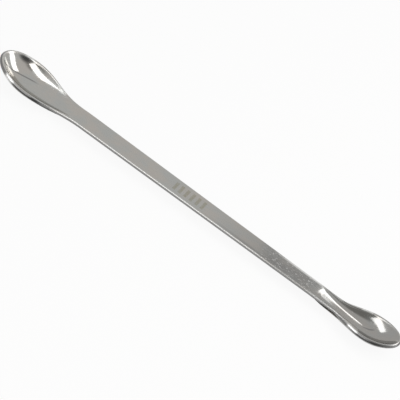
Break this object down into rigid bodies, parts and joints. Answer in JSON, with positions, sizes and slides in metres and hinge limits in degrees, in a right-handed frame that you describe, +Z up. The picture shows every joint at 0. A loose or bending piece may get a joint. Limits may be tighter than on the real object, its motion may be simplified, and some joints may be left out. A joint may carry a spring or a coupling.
{
  "type": "double-ended lab spatula",
  "caption": "Double-ended stainless steel lab spatula: a flat tapered handle with a large oval spoon bowl at one end and a smaller one at the other, for scooping powders.",
  "frame": {"origin": "on the bench below the middle of the overall length, where the undersides of both bowls rest", "axes": "+X along the handle towards the small bowl, +Z up out of the bowls' hollows"},
  "size_m": [0.181, 0.0178, 0.0076],
  "materials": {
    "steel": "polished stainless steel with fine lengthwise polishing lines"
  },
  "bodies": {
    "root": {"spatula": "steel"}
  },
  "joints": []
}
